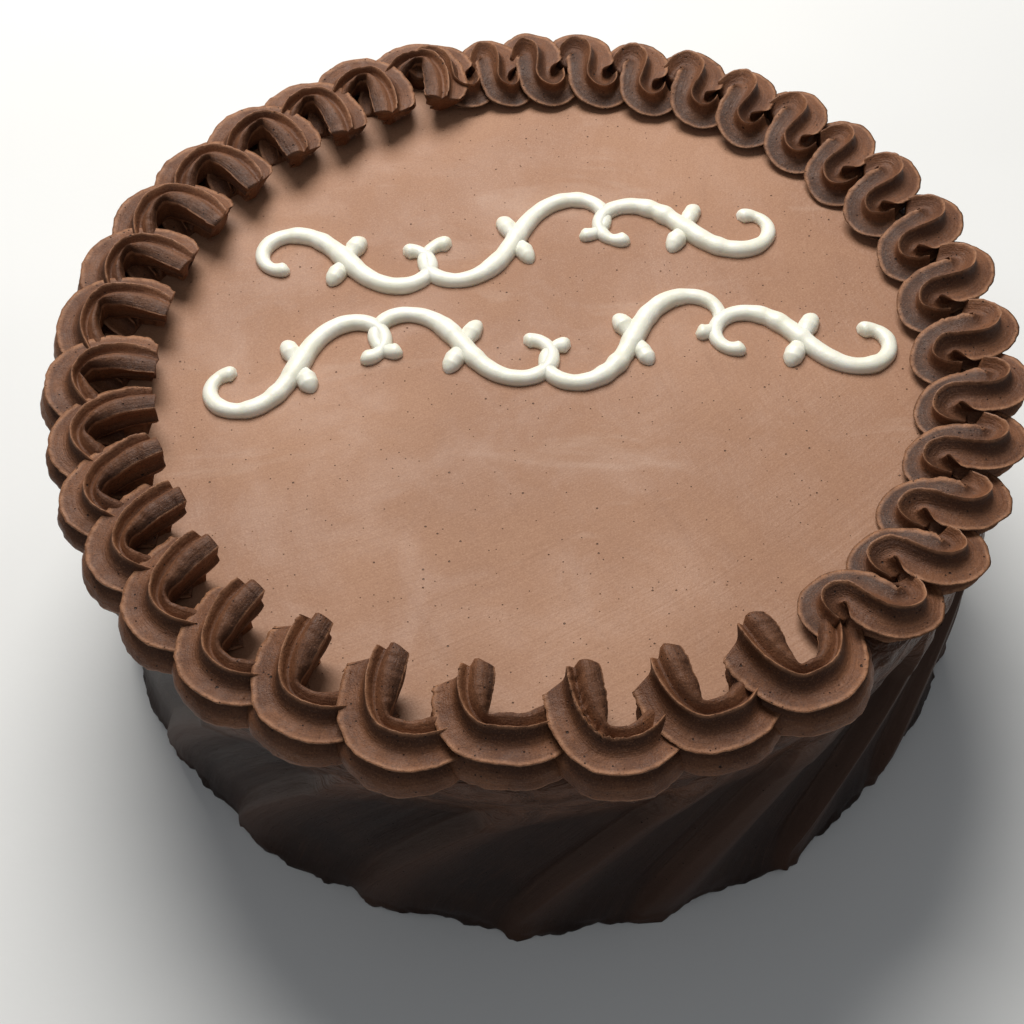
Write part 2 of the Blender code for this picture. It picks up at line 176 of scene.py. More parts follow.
# Camera: place in millimetres, angles in radians, focal length over frame width
CAMERA_PLACE = (0.5, -308.5, 451.1)
CAMERA_YAW = -0.02716
CAMERA_PITCH = 0.95081
CAMERA_ROLL = -0.04821
CAMERA_FOCAL = 1600.0 / 1024.0
SENSOR_WIDTH = 36.0

# Light and floor, in metres and watts
WINDOW_PLACE = (-0.12, 0.62, 0.98)
WINDOW_SIZE = 0.75
WINDOW_POWER = 14.5
FILL_PLACE = (-0.35, -0.70, 1.10)
FILL_SIZE = 0.9
FILL_POWER = 0.6
LIGHT_TARGET = (0.0, 0.0, 0.1)
SKY_STRENGTH = 0.20
FLOOR_HALF = 3.0
FLOOR_GAP = 0.0003


def smooth_curve(keys, places):
    """Catmull-Rom curve through evenly numbered keys, read at the given places."""
    keys = np.asarray(keys, float)
    count = len(keys)
    padded = np.vstack([2 * keys[0] - keys[1], keys, 2 * keys[-1] - keys[-2]])
    index = np.clip(np.floor(places).astype(int), 0, count - 2)
    part = (places - index)[:, None]
    before = padded[index]
    start = padded[index + 1]
    end = padded[index + 2]
    after = padded[index + 3]
    linear = end - before
    square = 2 * before - 5 * start + 4 * end - after
    cube = 3 * start - before - 3 * end + after
    return 0.5 * (2 * start + linear * part + square * part ** 2 + cube * part ** 3)


def smooth_step(value):
    """Eased rise from 0 to 1."""
    value = np.clip(value, 0.0, 1.0)
    return value * value * (3 - 2 * value)


def lattice_noise(u, v, wrap, seed):
    """Smooth noise from -1 to 1 over cells of one unit, repeating every wrap cells in u."""
    noise = np.random.default_rng(SEED + seed)
    table = noise.uniform(-1.0, 1.0, (wrap, 128))
    u = np.asarray(u, float)
    v = np.asarray(v, float) + 40.0
    cell_u = np.floor(u).astype(int)
    cell_v = np.floor(v).astype(int)
    part_u = smooth_step(u - cell_u)
    part_v = smooth_step(v - cell_v)
    low = table[cell_u % wrap, cell_v % 128]
    right = table[(cell_u + 1) % wrap, cell_v % 128]
    high = table[cell_u % wrap, (cell_v + 1) % 128]
    corner = table[(cell_u + 1) % wrap, (cell_v + 1) % 128]
    bottom = low + (right - low) * part_u
    top = high + (corner - high) * part_u
    return bottom + (top - bottom) * part_v


def grid_object(name, rows, closed=True, caps=(False, False), uv=None):
    """Smooth object from rows of points in millimetres, with its texture places."""
    rows = np.asarray(rows, float)
    count, around, _ = rows.shape
    index = np.arange(count * around).reshape(count, around)
    last = around if closed else around - 1
    here = index[:-1, :last]
    beside = np.roll(index, -1, 1)[:-1, :last]
    above = index[1:, :last]
    corner = np.roll(index, -1, 1)[1:, :last]
    quads = np.stack([here, beside, corner, above], -1).reshape(-1, 4)
    points = rows.reshape(-1, 3)
    faces = quads.tolist()
    places = None
    if uv is not None:
        wide = np.asarray(uv, float)
        onward = slice(1, last + 1)
        place = np.stack([wide[:-1, :last], wide[:-1, onward], wide[1:, onward], wide[1:, :last]], 2)
        places = place.reshape(-1, 2)
    for ring, wanted in ((0, caps[0]), (count - 1, caps[1])):
        if not wanted:
            continue
        middle = len(points)
        points = np.vstack([points, rows[ring].mean(axis=0)])
        for step in range(around):
            after = (step + 1) % around
            first, second = (after, step) if ring == 0 else (step, after)
            faces.append((int(index[ring, first]), int(index[ring, second]), middle))
        if places is not None:
            flat = np.repeat(np.asarray(uv, float)[ring, :1], 3 * around, axis=0)
            places = np.vstack([places, flat])
    mesh = bpy.data.meshes.new(name)
    mesh.from_pydata((points * MM).tolist(), [], faces)
    if places is not None:
        layer = mesh.uv_layers.new(name="flow")
        layer.data.foreach_set("uv", places.astype(np.float32).ravel())
    mesh.update()
    mesh.shade_smooth()
    item = bpy.data.objects.new(name, mesh)
    bpy.context.scene.collection.objects.link(item)
    return item


def join_objects(items, name):
    """One object from several."""
    bpy.ops.object.select_all(action="DESELECT")
    for item in items:
        item.select_set(True)
    bpy.context.view_layer.objects.active = items[0]
    bpy.ops.object.join()
    items[0].name = name
    items[0].data.name = name
    return items[0]


# Side and top of the cake

def swoosh_azimuth(number, height):
    """Azimuth of a ridge of the side at a height: steep at the foot, leaning above."""
    rise = height / TOP_HEIGHT
    wander = 1.6 * np.sin(2.4 * number + 0.7)
    return SWOOSH_PHASE + number * 360.0 / SWOOSH_COUNT + wander + SWOOSH_LEAN * rise ** 1.5


def swoosh_relief(across, number):
    """Height of the icing between two ridges: soft fall, broad hollow, sharp step up."""
    fall = np.exp(-(across / SWOOSH_FALL_WIDTH) ** 2)
    step = smooth_step((across - SWOOSH_STEP_FROM) / 0.10)
    uneven = 1.0 + 0.18 * np.sin(1.9 * number + 1.1)
    return (np.maximum(fall, step) - SWOOSH_MIDDLE_LEVEL) * uneven


def side_radius(number, across, height, azimuth):
    """Distance of the side from the axis, with swooshes, streaks, smears and a ragged foot."""
    radius = SIDE_FOOT_RADIUS + (SIDE_TOP_RADIUS - SIDE_FOOT_RADIUS) * height / TOP_HEIGHT
    fade_span = SWOOSH_FADE_TOP - SWOOSH_FADE_FROM
    fade_top = 1.0 - smooth_step((height - SWOOSH_FADE_FROM) / fade_span)
    fade_foot = FOOT_FADE_LEAST + 0.65 * smooth_step(height / FOOT_FADE_HEIGHT)
    radius = radius + SWOOSH_DEPTH * fade_top * fade_foot * swoosh_relief(across, number)
    foot = 1.0 - smooth_step(height / FOOT_WAVE_HEIGHT)
    turn = np.radians(azimuth)
    radius = radius + foot * (0.8 * np.sin(11 * turn) + 0.6 * np.sin(23 * turn + 1.0))
    flow = (number + across) * 10.0
    wide_streaks = lattice_noise(flow, height / 42.0, SWOOSH_COUNT * 10, 1)
    fine_streaks = lattice_noise(flow * 4, height / 30.0, SWOOSH_COUNT * 40, 2)
    radius = radius + fade_top * (WIDE_STREAK_DEPTH * wide_streaks + FINE_STREAK_DEPTH * fine_streaks)
    band = smooth_step((height - SMEAR_BAND_FROM) / SMEAR_BAND_SPAN)
    smear = lattice_noise(azimuth / 9.0, height / 7.0 + 0.8 * np.sin(3 * turn), 40, 3)
    lump = lattice_noise(azimuth / 4.5 + height / 30.0, height / 4.0, 80, 4)
    fold = 1.0 - np.abs(lattice_noise(azimuth / 6.0 - height / 14.0, height / 6.0, 60, 5)) * 4.0
    folded = FOLD_DEPTH * np.maximum(fold, 0.0)
    radius = radius + band * (SMEAR_DEPTH * smear + LUMP_DEPTH * lump + folded + SMEAR_STANDS_PROUD)
    crumb = lattice_noise(azimuth * 0.5, height / 3.0, 180, 6)
    crumb_fine = lattice_noise(azimuth * 1.5, height / 1.6, 540, 7)
    crumbly = 1.0 - smooth_step(height / CRUMB_HEIGHT)
    radius = radius + crumbly * (CRUMB_DEPTH * crumb + FINE_CRUMB_DEPTH * crumb_fine)
    return radius


def foot_lift(azimuth):
    """How far the lower edge of the icing stands off the ground: mostly nothing."""
    ragged = lattice_noise(azimuth / 5.0, np.zeros_like(azimuth), 72, 8)
    fine = lattice_noise(azimuth / 1.2, np.zeros_like(azimuth), 300, 9)
    return 3.0 * np.maximum(ragged - 0.45, 0.0) + 0.7 * np.maximum(fine - 0.5, 0.0)


def make_side():
    """Side of the cake up to the flat top, with a flat underside."""
    across = np.concatenate([np.linspace(0.0, 0.30, 14, endpoint=False),
                             np.linspace(0.30, 0.86, 18, endpoint=False),
                             np.linspace(0.86, 1.0, 16, endpoint=False)])
    number = np.repeat(np.arange(SWOOSH_COUNT), len(across)).astype(float)
    across = np.tile(across, SWOOSH_COUNT)
    heights = np.concatenate([np.linspace(0.0, 8.0, 9),
                              np.linspace(9.5, 60.0, 30),
                              np.linspace(61.2, SIDE_HEIGHT, 24)])
    rows = []
    flow = []
    for height in heights:
        here = swoosh_azimuth(number, height)
        following = swoosh_azimuth(number + 1, height)
        azimuth = here + (following - here) * across
        radius = side_radius(number, across, height, azimuth)
        turn = np.radians(azimuth)
        lift = height + foot_lift(azimuth) * max(0.0, 1.0 - height / 8.0)
        rows.append(np.stack([radius * np.cos(turn), radius * np.sin(turn), lift], 1))
        flow.append(height)
    low = rows[0].copy()
    low[:, :2] *= UNDERSIDE_SHARE
    low[:, 2] = 0.0
    rows.insert(0, low)
    flow.insert(0, 0.0)
    centre_radius = SIDE_TOP_RADIUS - RIM_ROUNDING
    centre_height = TOP_HEIGHT - RIM_ROUNDING
    here = swoosh_azimuth(number, SIDE_HEIGHT)
    following = swoosh_azimuth(number + 1, SIDE_HEIGHT)
    azimuth = here + (following - here) * across
    turn = np.radians(azimuth)
    edge = np.hypot(rows[-1][:, 0], rows[-1][:, 1]) - SIDE_TOP_RADIUS
    for angle in np.radians(np.linspace(4.0, 90.0, 9)):
        keep = math.cos(angle) ** 2
        radius = centre_radius + RIM_ROUNDING * math.cos(angle) + edge * keep
        level = np.full_like(radius, centre_height + RIM_ROUNDING * math.sin(angle))
        rows.append(np.stack([radius * np.cos(turn), radius * np.sin(turn), level], 1))
        flow.append(SIDE_HEIGHT + math.degrees(angle) / 10.0)
    widths = np.append((number + across), SWOOSH_COUNT) / SWOOSH_COUNT
    uv = np.zeros((len(rows), len(widths), 2))
    uv[:, :, 0] = widths[None, :]
    uv[:, :, 1] = np.array(flow)[:, None] / 100.0
    return grid_object("iced_side", rows, caps=(True, False), uv=uv)


def make_top():
    """Flat top with the faint arcs a spatula leaves."""
    radii = np.linspace(SIDE_TOP_RADIUS - RIM_ROUNDING, 1.0, 110)
    turn = np.linspace(0.0, 2 * math.pi, 300, endpoint=False)
    rows = []
    for radius in radii:
        x = radius * np.cos(turn)
        y = radius * np.sin(turn)
        away_x = x - ARC_MIDDLE[0]
        away_y = y - ARC_MIDDLE[1]
        way = np.degrees(np.arctan2(away_y, away_x))
        sweep = lattice_noise(np.hypot(away_x, away_y) / 7.0, way / 25, 100, 21)
        swell = lattice_noise(x / 34.0 + 8, y / 34.0, 40, 22)
        fade = smooth_step((SIDE_TOP_RADIUS - RIM_ROUNDING - radius) / TOP_EDGE_WIDTH)
        level = TOP_HEIGHT + fade * (ARC_DEPTH * sweep + SWELL_DEPTH * swell - TOP_SINK)
        rows.append(np.stack([x, y, level], 1))
    return grid_object("iced_top", rows, caps=(False, True))


# Piped border

def open_stroke_keys(pitch):
    """Keys of a stroke that starts with open tips.

    Each key: along the ring, distance from the axis, height above the top,
    heading from outward, turn of the fins, size.
    """
    return [
        (0.2, 112.0, 7.2, -2.0, 40.0, 0.93),
        (0.2, 115.5, 6.9, 0.0, 41.0, 1.00),
        (0.3, 120.0, 6.4, 4.0, 43.0, 1.02),
        (0.9, 124.8, 5.6, 14.0, 47.0, 1.02),
        (2.4, 129.6, 4.7, 32.0, 53.0, 1.02),
        (5.2, 133.2, 3.8, 60.0, 59.0, 1.02),
        (0.42 * pitch, 134.5, 3.3, 86.0, 63.0, 1.02),
        (0.60 * pitch, 133.6, 2.8, 104.0, 63.0, 0.99),
        (0.78 * pitch, 130.4, 1.4, 120.0, 62.0, 0.90),
        (0.95 * pitch, 125.6, -0.3, 134.0, 58.0, 0.78),
        (1.08 * pitch, 121.0, -1.4, 146.0, 54.0, 0.64),
    ]


def folded_stroke_keys(pitch):
    """Keys of a stroke that folds back over the end of the one before it."""
    return [
        (0.05 * pitch, 127.0, 0.2, 178.0, 60.0, 0.80),
        (0.05 * pitch, 123.0, 0.4, 172.0, 66.0, 0.86),
        (0.09 * pitch, 120.0, 0.9, 150.0, 76.0, 0.92),
        (0.20 * pitch, 118.4, 1.6, 105.0, 86.0, 0.95),
        (0.35 * pitch, 119.4, 2.6, 52.0, 78.0, 0.96),
        (0.44 * pitch, 122.3, 3.5, 22.0, 64.0, 0.97),
        (0.50 * pitch, 126.0, 3.9, 14.0, 56.0, 0.98),
        (0.57 * pitch, 129.8, 3.8, 24.0, 52.0, 1.00),
        (0.70 * pitch, 132.4, 3.3, 56.0, 48.0, 1.00),
        (0.87 * pitch, 133.4, 2.8, 92.0, 46.0, 1.00),
        (1.00 * pitch, 131.2, 2.0, 125.0, 46.0, 0.95),
        (1.08 * pitch, 127.6, 1.0, 150.0, 48.0, 0.90),
    ]


def hump_variation(number):
    """Small seeded differences between strokes: size, reach, height, turn of the fins."""
    noise = np.random.default_rng(SEED + 17 * number)
    size, reach, lift, turn = noise.normal(0.0, 1.0, 4)
    return 1.0 + 0.022 * size, 0.55 * reach, 0.35 * lift, 4.0 * turn


def starts_open(number):
    """Strokes at the front and left start with open tips, the others fold back."""
    return OPEN_TIPS_FROM < HUMP_AZIMUTHS[number] % 360 < OPEN_TIPS_TO


def fin_angles():
    """Angles round a stroke, closer together at the thin crests of the fins."""
    half = 30.0 * np.linspace(0.0, 1.0, 8) ** 1.7
    one = np.concatenate([-half[:0:-1], half[:-1]])
    return -np.radians(np.concatenate([60.0 * fin + one for fin in range(CORD_FINS)]))


def fin_groove(fin_angle, is_open):
    """Depth of the grooves round a stroke, 0 on a fin's crest and 1 half way to the next.

    Open strokes have a broad inner band and a broad outer one, each beside a thin notch,
    and their inner flank falls back under the inner band.
    """
    groove = np.abs(np.sin(CORD_FINS / 2 * fin_angle)) ** GROOVE_POWER
    if not is_open:
        return groove
    degrees = (np.degrees(fin_angle) + 240.0 + 1e-6) % 360.0 - 240.0
    inner_notch = 0.90 * np.exp(-((degrees - INNER_NOTCH_ANGLE) / INNER_NOTCH_WIDTH) ** 2)
    outer_notch = 0.85 * np.exp(-((degrees - OUTER_NOTCH_ANGLE) / OUTER_NOTCH_WIDTH) ** 2)
    groove = np.where((degrees > -60.0) & (degrees < 0.0), inner_notch, groove)
    groove = np.where(degrees < -120.0, outer_notch, groove)
    flank = np.clip(degrees / 25.0, 0.0, 1.0) ** GROOVE_POWER
    return np.where(degrees > 0.0, flank, groove)


def stroke_path(number, places):
    """Middle line of a stroke: along the ring, distance out, lift, heading, fins' turn, size."""
    azimuth = HUMP_AZIMUTHS[number]
    pitch = math.radians(HUMP_AZIMUTHS[number + 1] - azimuth) * BORDER_RADIUS
    azimuth = azimuth % 360
    is_open = starts_open(number)
    keys = open_stroke_keys(pitch) if is_open else folded_stroke_keys(pitch)
    along, reach, lift, heading, turn, size = smooth_curve(keys, places).T
    size_change, reach_change, lift_change, turn_change = hump_variation(number)
    reach = reach + reach_change
    lift = lift + lift_change
    turn = turn + turn_change
    if is_open:
        back = back_share(number)
        reach = reach - BACK_REACH_IN * back * np.clip(1.0 - places / 4.0, 0.0, 1.0)
        bow = math.pi * np.clip(places / 9.0, 0.0, 1.0)
        along = along - BACK_BOW * back * np.sin(bow)
        heading = heading - BACK_BOW_LEAN * back * np.cos(bow)
        turning = smooth_step((places - 1.0) / 5.0)
        reach = reach + TURN_CHANGES.get(number, 0.0) * turning
    else:
        along = along + BACK_LEAD * max(math.sin(math.radians(azimuth)), 0.0)
        along = along - RIGHT_LAG * math.cos(math.radians(azimuth))
    reach = reach - SET_IN * (1.0 - math.cos(math.radians(azimuth - SET_IN_LEAST)))
    radius = CORD_RADIUS * (0.88 + 0.12 * pitch / USUAL_PITCH) * size_change * size
    return along, reach, lift, heading, turn, radius


def back_share(number):
    """1 for the open strokes at the back left, fading to 0 for those at the left and front."""
    if not starts_open(number):
        return 0.0
    return float(smooth_step((BACK_STROKES_TO - HUMP_AZIMUTHS[number] % 360) / 14.0))


def hump_rings(number, places, fin_angle):
    """Rings of points of one piped stroke of the border, at places along its keys."""
    places = np.asarray(places, float)
    along, reach, lift, heading, turn, radius = stroke_path(number, places)
    is_open = starts_open(number)
    back = back_share(number)
    way = math.radians(HUMP_AZIMUTHS[number] % 360)
    flatness = OPEN_FLATNESS if is_open else FOLDED_FLATNESS
    inner_share = OPEN_INNER_SHARE if is_open else FOLDED_INNER_SHARE
    swing = way + along / BORDER_RADIUS
    centre = np.stack([reach * np.cos(swing), reach * np.sin(swing), TOP_HEIGHT + lift], 1)
    facing = way + 0.5 * along / BORDER_RADIUS + np.radians(heading)
    left = np.stack([-np.sin(facing), np.cos(facing), np.zeros_like(facing)], 1)
    step_length = np.linalg.norm(np.gradient(centre[:, :2], axis=0), axis=1)
    bend = np.gradient(facing) / np.maximum(step_length, 1e-6)
    distance = np.concatenate([[0.0], np.cumsum(step_length[1:])])
    outward = np.array([math.cos(way), math.sin(way), 0.0])
    side_view = math.sin(way) ** 2
    groove = fin_groove(fin_angle, is_open)
    crest = 1.0 - groove
    fin = np.degrees(fin_angle) / 60.0
    within = (np.degrees(fin_angle) + 180.0) % 360.0 - 180.0
    faint = sum(depth * np.exp(-((within - angle) / width) ** 2) for angle, width, depth in FAINT_RIDGES)
    tear = np.exp(-((within - TORN_ANGLE) / TORN_WIDTH) ** 2)
    crumb_seed = SEED + 500 + number
    crumbs = np.random.default_rng(crumb_seed).uniform(-1.0, 1.0, (len(places), len(fin_angle)))
    rings = []
    for step in range(len(places)):
        far = np.full_like(fin_angle, distance[step])
        ragged = lattice_noise(fin + 7 * number, far / 1.6, 97, 31)
        ragged_fine = lattice_noise(fin * 6.0 + 13 * number, far / 0.7, 89, 32)
        soft = lattice_noise(fin * 2.0 + 3 * number, far / 7.0, 83, 33)
        fins = 1.0 - GROOVE_DEPTH * groove
        fins = fins + crest * (RAGGED_CREST * ragged + FINE_RAGGED_CREST * ragged_fine) + SOFT_WAVE * soft
        if is_open:
            fins = fins + faint
        if number in TORN_STROKES:
            torn = tear * smooth_step(places[step]) * (1.0 - smooth_step((places[step] - 5.0) / 2.0))
            fins = fins - torn * (0.10 + 0.16 * ragged_fine + 0.10 * crumbs[step])
        angle = fin_angle + math.radians(turn[step])
        across = np.sin(angle) * fins * radius[step]
        above = np.cos(angle) * fins * radius[step]
        foot = max(lift[step] + FOOT_SINK, LEAST_FOOT)
        above = np.where(above < 0, above * foot / radius[step], above * flatness)
        above = above * (1.0 - BACK_TIP_DROOP * back * (1.0 - smooth_step(places[step] / BACK_TIP_LENGTH)))
        if is_open:
            hang = float(smooth_step((reach[step] - HANG_FROM) / 6.0))
            low = np.where(np.sin(angle) < 0, np.clip(-np.cos(angle), 0.0, 1.0), 0.0)
            across = across * (1.0 + BAND_SPREAD * hang * low)
            above = above - HANG_DEPTH * hang * low
        if abs(bend[step]) > 1e-4:
            limit = max(inner_share / abs(bend[step]), LEAST_INNER_WIDTH)
            inner = across * bend[step] > 0
            across = np.where(inner, np.sign(across) * limit * np.tanh(np.abs(across) / limit), across)
        ring = centre[step] + np.outer(across, left[step]) + np.outer(above, (0.0, 0.0, 1.0))
        if is_open:
            fade = max(0.0, 1.0 - places[step] / START_PLACES) ** 1.5
            short = np.where(across < 0, -START_SLANT * across, across * (0.4 * side_view - 0.2))
            short = short + START_NOTCH * groove
            short = short + START_UNDERCUT * np.maximum(0.0, -above)
            short = short + 0.9 * ragged * crest
            ring = ring + np.outer(short * fade, outward)
        rings.append(ring)
    return np.array(rings), distance


def make_border():
    """All strokes of the border, in three parts of about a third of the ring each."""
    corners = fin_angles()
    strokes = []
    for number in range(len(HUMP_AZIMUTHS) - 1):
        run = OPEN_RUN if starts_open(number) else FOLDED_RUN
        places = np.linspace(run[0], run[1], STROKE_RINGS)
        rings, distance = hump_rings(number, places, corners)
        uv = np.zeros((len(places), len(corners) + 1, 2))
        degrees = np.append(np.degrees(corners), np.degrees(corners[0]) - 360.0)
        uv[:, :, 0] = degrees[None, :] / 60.0 + 7 * number
        uv[:, :, 1] = distance[:, None] / 10.0
        strokes.append(grid_object("stroke", rings, caps=(True, True), uv=uv))
    thirds = []
    for part, name in enumerate(("border_back_left", "border_front", "border_right")):
        picked = [stroke for number, stroke in enumerate(strokes) if number * 3 // len(strokes) == part]
        thirds.append(join_objects(picked, name))
    return thirds


# Piped scrolls

def scroll_line(scroll, steps):
    """Middle line of a lying scroll: a curve whose bend grows evenly towards both ends."""
    x, y, length, tilt, flipped = scroll
    run = np.linspace(-1.0, 1.0, 10 * steps + 1)
    turn = math.radians(SCROLL_END_TURN) * run ** 2
    line_x = np.concatenate([[0.0], np.cumsum(np.cos(0.5 * (turn[1:] + turn[:-1])))])
    line_y = np.concatenate([[0.0], np.cumsum(np.sin(0.5 * (turn[1:] + turn[:-1])))])
    if flipped:
        line_y = -line_y
    line_x = line_x - line_x.mean()
    line_y = line_y - line_y.mean()
    lean = math.atan2(line_y[-1] - line_y[0], line_x[-1] - line_x[0])
    wanted = math.radians(tilt)
    turned_x = line_x * math.cos(wanted - lean) - line_y * math.sin(wanted - lean)
    turned_y = line_x * math.sin(wanted - lean) + line_y * math.cos(wanted - lean)
    scale = length / (turned_x.max() - turned_x.min())
    pick = slice(None, None, 10)
    return np.stack([x + scale * turned_x, y + scale * turned_y], 1)[pick]


def bead(line, widths, seed):
    """Rounded bead of cream along a line, with rounded ends and slightly uneven width."""
    line = np.asarray(line, float)
    direction = np.gradient(line, axis=0)
    direction = direction / np.linalg.norm(direction, axis=1)[:, None]
    length = np.concatenate([[0.0], np.cumsum(np.linalg.norm(np.diff(line, axis=0), axis=1))])
    uneven = 1.0 + 0.07 * lattice_noise(length / 3.0, np.full_like(length, seed), 60, 41)
    uneven = uneven + 0.05 * lattice_noise(length / 9.0, np.full_like(length, seed), 60, 42)
    widths = np.asarray(widths) * uneven
    end = np.minimum(length, length[-1] - length)
    rounding = np.sqrt(np.clip(1.0 - (1.0 - np.clip(end / (0.5 * widths), 0.0, 1.0)) ** 2, 0.0, 1.0))
    widths = np.maximum(widths * rounding, 0.05)
    angles = np.linspace(0.0, math.pi, 15)
    rings = []
    for (x, y), (dx, dy), width in zip(line, direction, widths):
        across = 0.5 * np.cos(angles) * (1.0 + 0.10 * np.sin(angles) ** 2)
        above = np.sin(angles) ** 0.8
        high = TOP_HEIGHT + above * width * BEAD_HEIGHT
        rings.append(np.stack([x - dy * across * width, y + dx * across * width, high], 1))
    return grid_object("bead", rings, closed=True)


def bud_line(scroll, angle):
    """Straight middle line of a bud that starts at the middle of a scroll."""
    x, y, length, tilt, flipped = scroll
    way = math.radians(angle if not flipped else -angle)
    run = np.linspace(0.0, BUD_LENGTH, BUD_STEPS)
    return np.stack([x + run * math.cos(way), y + run * math.sin(way)], 1)


def make_scrolls(name, scrolls):
    """One row of cream scrolls with buds."""
    beads = []
    for order, scroll in enumerate(scrolls):
        line = scroll_line(scroll, SCROLL_STEPS)
        run = np.abs(np.linspace(-1.0, 1.0, len(line)))
        widths = BEAD_WIDTH_END + (BEAD_WIDTH_MIDDLE - BEAD_WIDTH_END) * (1.0 - run) ** 0.8
        widths = widths + END_BULB * np.clip((run - END_BULB_FROM) / 0.12, 0.0, 1.0)
        beads.append(bead(line, widths, 5 * order))
        for angle in BUD_ANGLES:
            line = bud_line(scroll, angle)
            evenly = np.linspace(0, 1, len(BUD_SHAPE))
            shape = np.interp(np.linspace(0, 1, BUD_STEPS), evenly, BUD_SHAPE)
            beads.append(bead(line, BUD_WIDTH * shape, 5 * order + angle / 90))
    return join_objects(beads, name)


# Materials: colours are linear, scales are in cells a metre, depths in metres

BORDER_DARK = (0.130, 0.048, 0.020)
BORDER_LIGHT = (0.210, 0.082, 0.034)
BORDER_STREAK = (0.090, 0.035, 0.017)
# Painted shade in the grooves of the border
BORDER_GROOVE_SHADE = (0.036, 0.014, 0.007)
# Painted highlight on the border's crests
BORDER_CREST_HIGHLIGHT = (0.400, 0.190, 0.098)
BORDER_PALE_GRAIN = (0.330, 0.155, 0.080)
BORDER_DARK_GRAIN = (0.030, 0.013, 0.008)
# Painted shade inside the border's air holes
BORDER_PIT_SHADE = (0.014, 0.006, 0.004)
# The side's colours are painted far darker than the top's, as painted shade where the side faces away from
# the light
SIDE_SHADED_DARK = (0.016, 0.006, 0.0035)
SIDE_SHADED_LIGHT = (0.028, 0.0115, 0.0065)
SIDE_STREAK = (0.012, 0.005, 0.0035)
# Painted highlight on the side's ridges
SIDE_RIDGE_HIGHLIGHT = (0.075, 0.032, 0.017)
# Painted reflection on the glossy smears of the side
SIDE_SMEAR_REFLECTION = (0.120, 0.052, 0.028)
SIDE_SCRATCH = (0.080, 0.036, 0.021)
# Painted shade inside the side's air holes
SIDE_PIT_SHADE = (0.006, 0.003, 0.002)
# The top's colours are lighter than the side's and the border's: partly the icing's own tone, partly
# painted light on the upward face
TOP_DARK = (0.345, 0.170, 0.094)
TOP_LIGHT = (0.410, 0.212, 0.122)
TOP_CLOUD = (0.460, 0.262, 0.165)
TOP_ARC = (0.300, 0.145, 0.080)
TOP_SMEAR = (0.520, 0.340, 0.250)
# Painted shade inside the top's air holes
TOP_PIT_SHADE = (0.060, 0.028, 0.018)
TOP_DARK_GRAIN = (0.230, 0.105, 0.055)
TOP_PALE_GRAIN = (0.560, 0.340, 0.220)
CREAM_DARK = (0.86, 0.84, 0.70)
CREAM_LIGHT = (0.93, 0.91, 0.80)
FLOOR_DARK = (0.80, 0.80, 0.79)
FLOOR_LIGHT = (0.84, 0.84, 0.83)
GRAIN_SCALE = 2100.0
ARC_CENTRE = (0.26, 0.05, 0.0)
FINE_ARC_CENTRE = (-0.20, 0.30, 0.0)


